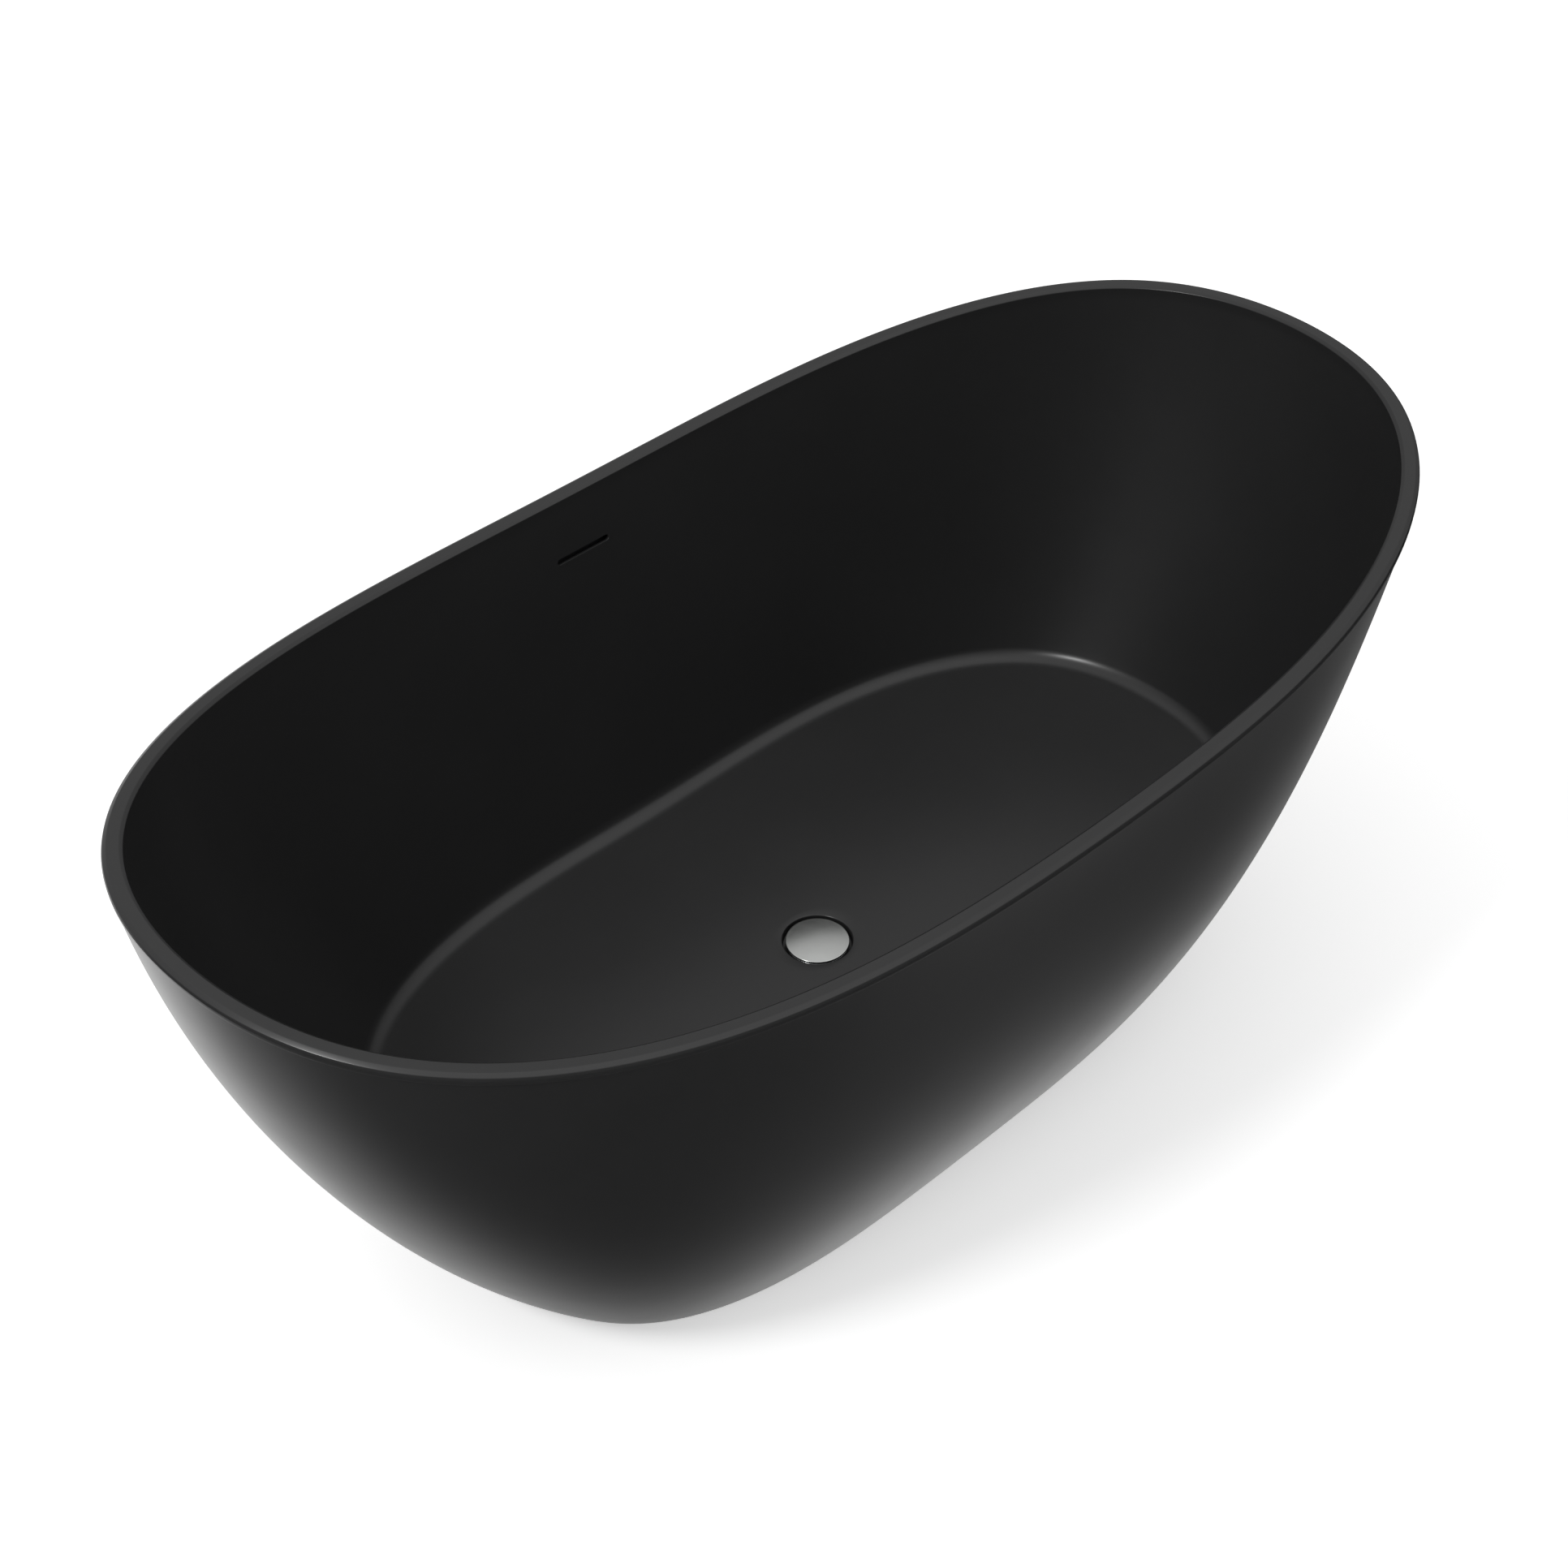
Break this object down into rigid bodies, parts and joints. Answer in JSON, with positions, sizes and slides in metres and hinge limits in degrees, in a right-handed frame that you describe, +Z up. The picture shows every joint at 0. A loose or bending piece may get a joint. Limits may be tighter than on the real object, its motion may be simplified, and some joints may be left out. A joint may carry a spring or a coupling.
{
  "type": "freestanding bathtub",
  "caption": "Freestanding double-ended bathtub with raised ends, slim rolled rim, central click waste and slot overflow on a hidden levelling frame.",
  "frame": {"origin": "on the floor, under the middle of the rim", "axes": "+X along the length, +Y towards the long wall with the overflow slot, +Z up"},
  "size_m": [1.5, 0.7736, 0.6234],
  "materials": {
    "shell": "satin matt black acrylic",
    "board": "resin-sealed chipboard",
    "frame": "powder-coated steel tube",
    "zinc": "zinc plated steel",
    "foot_rubber": "moulded rubber-faced foot",
    "chrome": "satin chrome on brass",
    "brass": "raw machined brass",
    "seal": "soft black rubber",
    "pipe": "grey-white polypropylene",
    "moulding": "off-white moulded plastic",
    "hose": "corrugated grey plastic hose"
  },
  "bodies": {
    "tub": {"basin": "shell", "outer_skirt": "shell", "base_board": "board", "frame_rail_slot_side": "frame", "frame_rail_plain_side": "frame", "frame_cross_1": "frame", "frame_cross_2": "frame", "frame_cross_3": "frame", "frame_cross_4": "frame", "foot_1_weld_nut": "frame", "foot_2_weld_nut": "frame", "foot_3_weld_nut": "frame", "foot_4_weld_nut": "frame", "skirt_tie_1": "zinc", "skirt_tie_2": "zinc", "skirt_tie_3": "zinc", "skirt_tie_4": "zinc", "foot_1_lock_nut": "zinc", "foot_2_lock_nut": "zinc", "foot_3_lock_nut": "zinc", "foot_4_lock_nut": "zinc", "hose_clip_lower": "zinc", "hose_clip_upper": "zinc", "cartridge_spring": "zinc", "waste_body": "chrome", "waste_back_nut": "brass", "cartridge_body": "brass", "cartridge_guide": "brass", "waste_washer_top": "seal", "waste_washer_bottom": "seal", "overflow_gasket": "seal", "waste_tee": "pipe", "waste_coupling_nut": "pipe", "waste_tailpiece": "pipe", "overflow_duct": "pipe", "overflow_box": "moulding", "overflow_adaptor": "moulding", "overflow_hose": "hose"},
    "waste_plug": {"waste_cap": "chrome", "waste_cap_seal": "seal", "waste_cap_stem": "brass"},
    "foot_1": {"foot_1_stud": "zinc", "foot_1_pad": "foot_rubber"},
    "foot_2": {"foot_2_stud": "zinc", "foot_2_pad": "foot_rubber"},
    "foot_3": {"foot_3_stud": "zinc", "foot_3_pad": "foot_rubber"},
    "foot_4": {"foot_4_stud": "zinc", "foot_4_pad": "foot_rubber"}
  },
  "joints": [
    {"name": "waste_cap_lift", "type": "slide", "parent": "tub", "child": "waste_plug", "axis": [0, 0, 1], "range_m": [0, 0.009], "deforming": ["cartridge_spring"]},
    {"name": "foot_1_level", "type": "slide", "parent": "tub", "child": "foot_1", "axis": [0, 0, 1], "range_m": [-0.02, 0]},
    {"name": "foot_2_level", "type": "slide", "parent": "tub", "child": "foot_2", "axis": [0, 0, 1], "range_m": [-0.02, 0]},
    {"name": "foot_3_level", "type": "slide", "parent": "tub", "child": "foot_3", "axis": [0, 0, 1], "range_m": [-0.02, 0]},
    {"name": "foot_4_level", "type": "slide", "parent": "tub", "child": "foot_4", "axis": [0, 0, 1], "range_m": [-0.02, 0]}
  ]
}
